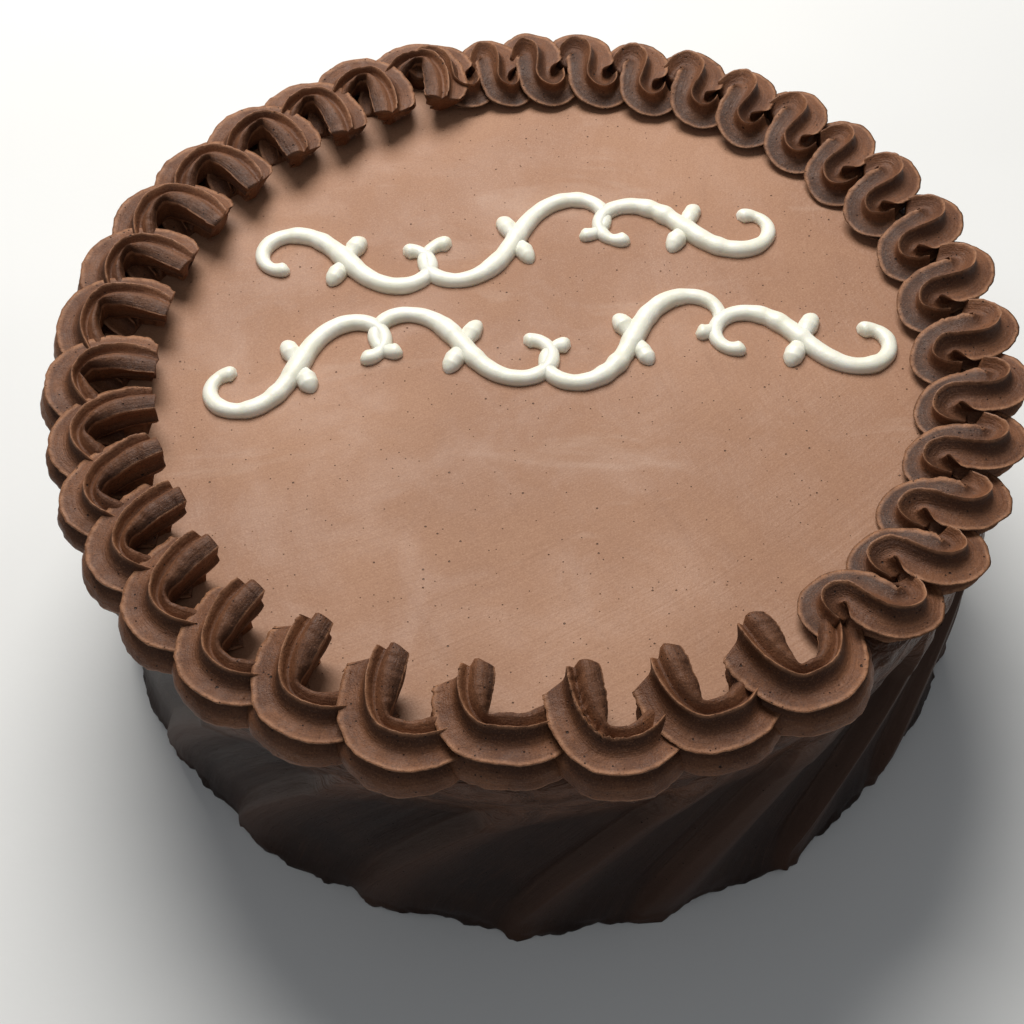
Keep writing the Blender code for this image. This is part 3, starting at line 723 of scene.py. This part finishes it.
class Nodes:
    """Short calls for building one material's nodes."""

    def __init__(self, name, roughness):
        self.material = bpy.data.materials.new(name)
        self.material.use_nodes = True
        self.tree = self.material.node_tree
        self.surface = self.tree.nodes["Principled BSDF"]
        self.surface.inputs["Roughness"].default_value = roughness

    def link(self, source, target):
        """Joins an output to an input."""
        self.tree.links.new(source, target)

    def put(self, socket, value):
        """Links a socket's output, or sets a plain value."""
        if isinstance(value, bpy.types.NodeSocket):
            self.link(value, socket)
        else:
            socket.default_value = value

    def place(self, scale=(1.0, 1.0, 1.0), use_flow=False):
        """Place on the object in metres, or along and across the flow, stretched by scale."""
        source = self.tree.nodes.new("ShaderNodeTexCoord")
        mapping = self.tree.nodes.new("ShaderNodeMapping")
        mapping.inputs["Scale"].default_value = scale
        self.link(source.outputs["UV" if use_flow else "Object"], mapping.inputs["Vector"])
        return mapping.outputs["Vector"]

    def noise(self, place, scale, detail=2.0, rough=0.5, distortion=0.0):
        """Cloudy noise from 0 to 1."""
        node = self.tree.nodes.new("ShaderNodeTexNoise")
        self.link(place, node.inputs["Vector"])
        node.inputs["Scale"].default_value = scale
        node.inputs["Detail"].default_value = detail
        node.inputs["Roughness"].default_value = rough
        node.inputs["Distortion"].default_value = distortion
        return node.outputs["Fac"]

    def cells(self, place, scale):
        """Distance from the middle of the nearest cell, and that cell's random colour."""
        node = self.tree.nodes.new("ShaderNodeTexVoronoi")
        self.link(place, node.inputs["Vector"])
        node.inputs["Scale"].default_value = scale
        return node.outputs["Distance"], node.outputs["Color"]

    def span(self, value, low, high, out_low=0.0, out_high=1.0):
        """Eased change from one level to another while the value goes from low to high."""
        node = self.tree.nodes.new("ShaderNodeMapRange")
        node.interpolation_type = "SMOOTHSTEP"
        self.put(node.inputs["Value"], value)
        node.inputs["From Min"].default_value = low
        node.inputs["From Max"].default_value = high
        node.inputs["To Min"].default_value = out_low
        node.inputs["To Max"].default_value = out_high
        return node.outputs["Result"]

    def math(self, operation, first, second=0.0):
        """One sum on values or outputs."""
        node = self.tree.nodes.new("ShaderNodeMath")
        node.operation = operation
        self.put(node.inputs[0], first)
        self.put(node.inputs[1], second)
        return node.outputs[0]

    def blend(self, factor, first, second):
        """Mix of two colours."""
        node = self.tree.nodes.new("ShaderNodeMix")
        node.data_type = "RGBA"
        self.put(node.inputs[0], factor)
        for socket, value in ((node.inputs[6], first), (node.inputs[7], second)):
            if isinstance(value, bpy.types.NodeSocket):
                self.link(value, socket)
            else:
                socket.default_value = (value[0], value[1], value[2], 1.0)
        return node.outputs[2]

    def ramp(self, value, stops):
        """Grey level that follows (place, level) stops."""
        node = self.tree.nodes.new("ShaderNodeValToRGB")
        node.color_ramp.interpolation = "B_SPLINE"
        while len(node.color_ramp.elements) < len(stops):
            node.color_ramp.elements.new(0.5)
        for element, (place, level) in zip(node.color_ramp.elements, stops):
            element.position = place
            element.color = (level, level, level, 1.0)
        self.link(value, node.inputs["Fac"])
        return node.outputs["Color"]

    def bump(self, height, distance, strength=1.0, normal=None):
        """Relief from a height, on top of an earlier relief if there is one."""
        node = self.tree.nodes.new("ShaderNodeBump")
        node.inputs["Distance"].default_value = distance
        node.inputs["Strength"].default_value = strength
        self.link(height, node.inputs["Height"])
        if normal is not None:
            self.link(normal, node.inputs["Normal"])
        return node.outputs["Normal"]

    def finish(self, colour, normal, roughness=None):
        """Ties colour, relief and roughness to the surface."""
        self.put(self.surface.inputs["Base Color"], colour)
        self.link(normal, self.surface.inputs["Normal"])
        if roughness is not None:
            self.link(roughness, self.surface.inputs["Roughness"])
        return self.material


def pits(nodes, place, scale, size, share):
    """Small round air holes: one where a cell's own random value is low enough."""
    distance, chosen = nodes.cells(place, scale)
    split = nodes.tree.nodes.new("ShaderNodeSeparateColor")
    nodes.link(chosen, split.inputs[0])
    picked = nodes.math("LESS_THAN", split.outputs[0], share)
    hole = nodes.span(distance, size * 0.5, size, 1.0, 0.0)
    return nodes.math("MULTIPLY", hole, picked)


def flow_part(nodes, offset, repeats=1.0):
    """How far round from one fin, or one swoosh, to the next a point lies, from 0 to 1."""
    split = nodes.tree.nodes.new("ShaderNodeSeparateXYZ")
    nodes.link(nodes.place(use_flow=True), split.inputs[0])
    turned = nodes.math("MULTIPLY", split.outputs[0], repeats)
    return nodes.math("FRACT", nodes.math("ADD", turned, offset))


def border_icing():
    """Dark chocolate buttercream of the piped border: painted highlights on the crests, painted shade in
    the grooves and air holes, fine grain.
    """
    nodes = Nodes("piped chocolate icing", 0.56)
    nodes.surface.inputs["Specular IOR Level"].default_value = 0.30
    place = nodes.place()
    flow = nodes.place((5.0, 0.35, 1.0), use_flow=True)
    patches = nodes.span(nodes.noise(place, 90.0, 3.0), 0.3, 0.7)
    streaks = nodes.noise(flow, 3.0, 3.0, 0.6)
    colour = nodes.blend(patches, BORDER_DARK, BORDER_LIGHT)
    colour = nodes.blend(nodes.span(streaks, 0.35, 0.75, 0.0, 0.45), colour, BORDER_STREAK)
    # Painted shade: each fin's flank is coloured darker towards the groove
    groove = nodes.ramp(flow_part(nodes, 0.0), FIN_PAINTED_SHADE)
    colour = nodes.blend(groove, colour, BORDER_GROOVE_SHADE)
    # Painted highlight: a pale line along each crest, broken up by noise
    away = nodes.math("ABSOLUTE", nodes.math("SUBTRACT", flow_part(nodes, 0.5), 0.5))
    broken = nodes.span(nodes.noise(place, 400.0, 2.0), 0.35, 0.65, 0.35, 0.80)
    crest = nodes.math("MULTIPLY", nodes.span(away, 0.012, 0.070, 1.0, 0.0), broken)
    colour = nodes.blend(crest, colour, BORDER_CREST_HIGHLIGHT)
    speckle = nodes.noise(place, GRAIN_SCALE, 2.0, 0.7)
    colour = nodes.blend(nodes.span(speckle, 0.54, 0.70, 0.0, 0.34), colour, BORDER_PALE_GRAIN)
    colour = nodes.blend(nodes.span(speckle, 0.32, 0.46, 0.5, 0.0), colour, BORDER_DARK_GRAIN)
    small = pits(nodes, place, 760.0, 0.22, 0.14)
    large = pits(nodes, place, 300.0, 0.14, 0.10)
    holes = nodes.math("MAXIMUM", small, large)
    # Painted shade: air holes are coloured dark as well as sunk by the bump
    colour = nodes.blend(nodes.math("MULTIPLY", holes, 0.9), colour, BORDER_PIT_SHADE)
    grain = nodes.noise(place, 2600.0, 3.0, 0.6)
    lumps = nodes.noise(place, 700.0, 2.0, 0.5)
    height = nodes.math("SUBTRACT", nodes.math("MULTIPLY", streaks, 0.7), holes)
    normal = nodes.bump(height, 0.00030)
    normal = nodes.bump(lumps, 0.00022, 1.0, normal)
    normal = nodes.bump(grain, 0.00016, 1.0, normal)
    rough = nodes.span(nodes.noise(place, 220.0, 2.0), 0.3, 0.7, 0.46, 0.62)
    return nodes.finish(colour, normal, rough)


def side_icing():
    """Chocolate icing of the side, painted dark as shade, smeared along the swooshes, glossy and folded at
    the top, with painted highlights on the ridges and a painted reflection on the glossy smears.
    """
    nodes = Nodes("smeared chocolate icing", 0.5)
    nodes.surface.inputs["Specular IOR Level"].default_value = 0.22
    place = nodes.place()
    flow = nodes.place((220.0, 3.0, 1.0), use_flow=True)
    fine_flow = nodes.place((900.0, 5.0, 1.0), use_flow=True)
    patches = nodes.span(nodes.noise(place, 45.0, 3.0), 0.3, 0.7)
    streaks = nodes.noise(flow, 1.0, 4.0, 0.65)
    scratches = nodes.noise(fine_flow, 1.0, 2.0, 0.5)
    # Painted shade: the side's base colours are set dark because it faces away from the light
    colour = nodes.blend(patches, SIDE_SHADED_DARK, SIDE_SHADED_LIGHT)
    colour = nodes.blend(nodes.span(streaks, 0.35, 0.75, 0.0, 0.5), colour, SIDE_STREAK)
    # Painted highlight: the side's ridges are coloured lighter where they catch the light
    ridge = nodes.ramp(flow_part(nodes, 0.5, SWOOSH_COUNT), RIDGE_PAINTED_HIGHLIGHT)
    colour = nodes.blend(nodes.math("MULTIPLY", ridge, 0.75), colour, SIDE_RIDGE_HIGHLIGHT)
    height = nodes.tree.nodes.new("ShaderNodeSeparateXYZ")
    nodes.link(place, height.inputs[0])
    high = nodes.span(height.outputs[2], SMEARS_FROM * MM, SMEARS_FULL * MM)
    folds = nodes.noise(nodes.place((1.0, 1.0, 2.2)), 75.0, 4.0, 0.6, 1.2)
    smeared = nodes.math("MULTIPLY", high, nodes.span(folds, 0.35, 0.65, 0.35, 1.0))
    # Painted reflection: the glossy smears near the top of the side are coloured lighter
    colour = nodes.blend(smeared, colour, SIDE_SMEAR_REFLECTION)
    colour = nodes.blend(nodes.span(scratches, 0.60, 0.75, 0.0, 0.30), colour, SIDE_SCRATCH)
    small = pits(nodes, place, 700.0, 0.18, 0.08)
    large = pits(nodes, place, 260.0, 0.12, 0.05)
    holes = nodes.math("MAXIMUM", small, large)
    # Painted shade: air holes are coloured dark as well as sunk by the bump
    colour = nodes.blend(nodes.math("MULTIPLY", holes, 0.8), colour, SIDE_PIT_SHADE)
    grain = nodes.noise(place, 1800.0, 3.0, 0.6)
    broad_relief = nodes.math("MULTIPLY", streaks, 1.4)
    fine_relief = nodes.math("MULTIPLY", scratches, 0.35)
    relief = nodes.math("ADD", broad_relief, fine_relief)
    normal = nodes.bump(nodes.math("SUBTRACT", relief, holes), 0.00040)
    normal = nodes.bump(nodes.math("MULTIPLY", folds, high), 0.0030, 1.0, normal)
    normal = nodes.bump(grain, 0.00010, 1.0, normal)
    rough = nodes.span(high, 0.0, 1.0, 0.55, 0.36)
    return nodes.finish(colour, normal, rough)


def arc_lines(nodes, place, centre, fineness):
    """Noise drawn out along arcs round a centre in metres, as a spatula leaves it."""
    away = nodes.tree.nodes.new("ShaderNodeVectorMath")
    away.operation = "SUBTRACT"
    nodes.link(place, away.inputs[0])
    away.inputs[1].default_value = centre
    split = nodes.tree.nodes.new("ShaderNodeSeparateXYZ")
    nodes.link(away.outputs[0], split.inputs[0])
    angle = nodes.math("ARCTAN2", split.outputs[1], split.outputs[0])
    across = nodes.math("MULTIPLY", split.outputs[0], split.outputs[0])
    along = nodes.math("MULTIPLY", split.outputs[1], split.outputs[1])
    radius = nodes.math("SQRT", nodes.math("ADD", across, along))
    joined = nodes.tree.nodes.new("ShaderNodeCombineXYZ")
    nodes.link(nodes.math("MULTIPLY", radius, fineness), joined.inputs[0])
    nodes.link(nodes.math("MULTIPLY", angle, 4.0), joined.inputs[1])
    return nodes.noise(joined.outputs[0], 1.0, 3.0, 0.6)


def top_icing():
    """Smooth chocolate icing of the flat top, lighter than the side and the border: partly its own tone,
    partly painted light on the upward face.
    """
    nodes = Nodes("smooth chocolate icing", 0.5)
    nodes.surface.inputs["Specular IOR Level"].default_value = 0.35
    place = nodes.place()
    broad = nodes.noise(place, 14.0, 4.0, 0.55)
    cloudy = nodes.noise(place, 42.0, 5.0, 0.6, 0.4)
    # Partly painted light: the top's base colours are set lighter because it faces the light
    colour = nodes.blend(nodes.span(broad, 0.32, 0.68), TOP_DARK, TOP_LIGHT)
    colour = nodes.blend(nodes.span(cloudy, 0.5, 0.8, 0.0, 0.35), colour, TOP_CLOUD)
    arcs = arc_lines(nodes, place, ARC_CENTRE, 160.0)
    fine_arcs = arc_lines(nodes, place, FINE_ARC_CENTRE, 700.0)
    colour = nodes.blend(nodes.span(arcs, 0.55, 0.75, 0.0, 0.30), colour, TOP_ARC)
    smeary = nodes.noise(nodes.place((1.0, 3.0, 1.0)), 16.0, 4.0, 0.6, 0.6)
    smears = nodes.span(smeary, 0.58, 0.72, 0.0, 0.35)
    colour = nodes.blend(smears, colour, TOP_SMEAR)
    large = pits(nodes, place, 300.0, 0.105, 0.16)
    small = pits(nodes, place, 560.0, 0.125, 0.24)
    holes = nodes.math("MAXIMUM", large, small)
    # Painted shade: air holes are coloured dark as well as sunk by the bump
    colour = nodes.blend(nodes.math("MULTIPLY", holes, 0.8), colour, TOP_PIT_SHADE)
    grain = nodes.noise(place, 1500.0, 3.0, 0.6)
    speckle = nodes.noise(place, GRAIN_SCALE, 2.0, 0.7)
    colour = nodes.blend(nodes.span(speckle, 0.32, 0.50, 0.28, 0.0), colour, TOP_DARK_GRAIN)
    colour = nodes.blend(nodes.span(speckle, 0.52, 0.68, 0.0, 0.25), colour, TOP_PALE_GRAIN)
    relief = nodes.math("ADD", nodes.math("MULTIPLY", cloudy, 0.5), nodes.math("MULTIPLY", fine_arcs, 0.30))
    relief = nodes.math("ADD", relief, nodes.math("MULTIPLY", arcs, 0.6))
    normal = nodes.bump(nodes.math("SUBTRACT", relief, holes), 0.00035)
    normal = nodes.bump(grain, 0.00008, 1.0, normal)
    rough = nodes.span(cloudy, 0.3, 0.7, 0.48, 0.66)
    return nodes.finish(colour, normal, rough)


def cream():
    """Off-white piping cream."""
    nodes = Nodes("piped cream", 0.38)
    place = nodes.place()
    cloudy = nodes.noise(place, 130.0, 3.0)
    colour = nodes.blend(nodes.span(cloudy, 0.3, 0.7), CREAM_DARK, CREAM_LIGHT)
    grain = nodes.noise(place, 900.0, 3.0, 0.6)
    height = nodes.math("ADD", nodes.math("MULTIPLY", cloudy, 1.0), nodes.math("MULTIPLY", grain, 0.25))
    normal = nodes.bump(height, 0.00025)
    nodes.surface.inputs["Subsurface Weight"].default_value = 0.15
    nodes.surface.inputs["Subsurface Radius"].default_value = (0.0015, 0.0012, 0.0008)
    nodes.surface.inputs["Subsurface Scale"].default_value = 1.0
    return nodes.finish(colour, normal, nodes.span(grain, 0.3, 0.7, 0.32, 0.45))


def floor_material():
    """Matt pale grey."""
    nodes = Nodes("pale floor", 0.7)
    place = nodes.place()
    faint = nodes.noise(place, 6.0, 2.0)
    colour = nodes.blend(nodes.span(faint, 0.3, 0.7), FLOOR_DARK, FLOOR_LIGHT)
    normal = nodes.bump(nodes.noise(place, 300.0, 2.0), 0.00005)
    return nodes.finish(colour, normal)


# Stage

def make_stage():
    """Plain pale floor just under the cake."""
    mesh = bpy.data.meshes.new("floor")
    half = FLOOR_HALF
    corners = [(-half, -half, 0), (half, -half, 0), (half, half, 0), (-half, half, 0)]
    mesh.from_pydata(corners, [], [(0, 1, 2, 3)])
    floor = bpy.data.objects.new("floor", mesh)
    floor.location.z = -FLOOR_GAP
    bpy.context.scene.collection.objects.link(floor)
    mesh.materials.append(floor_material())


def make_camera(move):
    """Camera at the photo's viewing angle, moved as the cake is when it is centred."""
    yaw, pitch, roll = CAMERA_YAW, CAMERA_PITCH, CAMERA_ROLL
    forward = Vector((math.sin(yaw) * math.cos(pitch), math.cos(yaw) * math.cos(pitch), -math.sin(pitch)))
    level = Vector((math.cos(yaw), -math.sin(yaw), 0.0))
    upward = level.cross(forward)
    right = math.cos(roll) * level + math.sin(roll) * upward
    top = -math.sin(roll) * level + math.cos(roll) * upward
    matrix = Matrix((right, top, -forward)).transposed().to_4x4()
    matrix.translation = (Vector(CAMERA_PLACE) + Vector(move)) * MM
    lens = bpy.data.cameras.new("camera")
    lens.sensor_width = SENSOR_WIDTH
    lens.lens = CAMERA_FOCAL * SENSOR_WIDTH
    lens.clip_start = 0.01
    camera = bpy.data.objects.new("camera", lens)
    camera.matrix_world = matrix
    bpy.context.scene.collection.objects.link(camera)
    bpy.context.scene.camera = camera


def area_light(name, place, size, power, colour):
    """Round soft light aimed at the cake."""
    data = bpy.data.lights.new(name, "AREA")
    data.shape = "DISK"
    data.size = size
    data.energy = power
    data.color = colour
    light = bpy.data.objects.new(name, data)
    light.location = place
    light.rotation_euler = (Vector(LIGHT_TARGET) - Vector(place)).to_track_quat("-Z", "Y").to_euler()
    bpy.context.scene.collection.objects.link(light)


def make_light():
    """Pale sky, a large soft light behind and above, and a weak one in front."""
    world = bpy.data.worlds.new("studio")
    bpy.context.scene.world = world
    world.use_nodes = True
    background = world.node_tree.nodes["Background"]
    background.inputs[0].default_value = (0.92, 0.96, 1.0, 1.0)
    background.inputs[1].default_value = SKY_STRENGTH
    area_light("window", WINDOW_PLACE, WINDOW_SIZE, WINDOW_POWER, (1.0, 0.98, 0.94))
    area_light("fill", FILL_PLACE, FILL_SIZE, FILL_POWER, (0.95, 0.96, 1.0))
    bpy.context.scene.view_settings.view_transform = "Standard"


def shift_points(items, move):
    """Moves the points of the objects, in millimetres."""
    for item in items:
        item.data.transform(Matrix.Translation(Vector(move) * MM))


def box_middle(items):
    """Middle of the objects' common box, in millimetres."""
    low = np.full(3, np.inf)
    high = np.full(3, -np.inf)
    for item in items:
        flat = np.empty(len(item.data.vertices) * 3)
        item.data.vertices.foreach_get("co", flat)
        low = np.minimum(low, flat.reshape(-1, 3).min(axis=0))
        high = np.maximum(high, flat.reshape(-1, 3).max(axis=0))
    return 0.5 * (low + high) / MM


def dress(item, material, node):
    """Gives a piece its material and ties it to its solid."""
    item.data.materials.clear()
    item.data.materials.append(material)
    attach(item, "root")
    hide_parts(node)


def main():
    """Makes every piece, centres the cake on its solids and dresses it."""
    make_stage()
    make_light()
    side = make_side()
    top = make_top()
    border = make_border()
    upper = make_scrolls("cream_upper", UPPER_SCROLLS)
    lower = make_scrolls("cream_lower", LOWER_SCROLLS)
    low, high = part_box("piped_border")
    wanted = 0.5 * (np.array(low) + np.array(high)) / MM
    middle = box_middle(border)
    move = (wanted[0] - middle[0], wanted[1] - middle[1], 0.0)
    shift_points([side, top, upper, lower] + border, move)
    make_camera(move)
    dress(side, side_icing(), "cake")
    dress(top, top_icing(), "cake")
    dark = border_icing()
    for part in border:
        dress(part, dark, "piped_border")
    white = cream()
    dress(upper, white, "scroll_upper")
    dress(lower, white, "scroll_lower")


main()
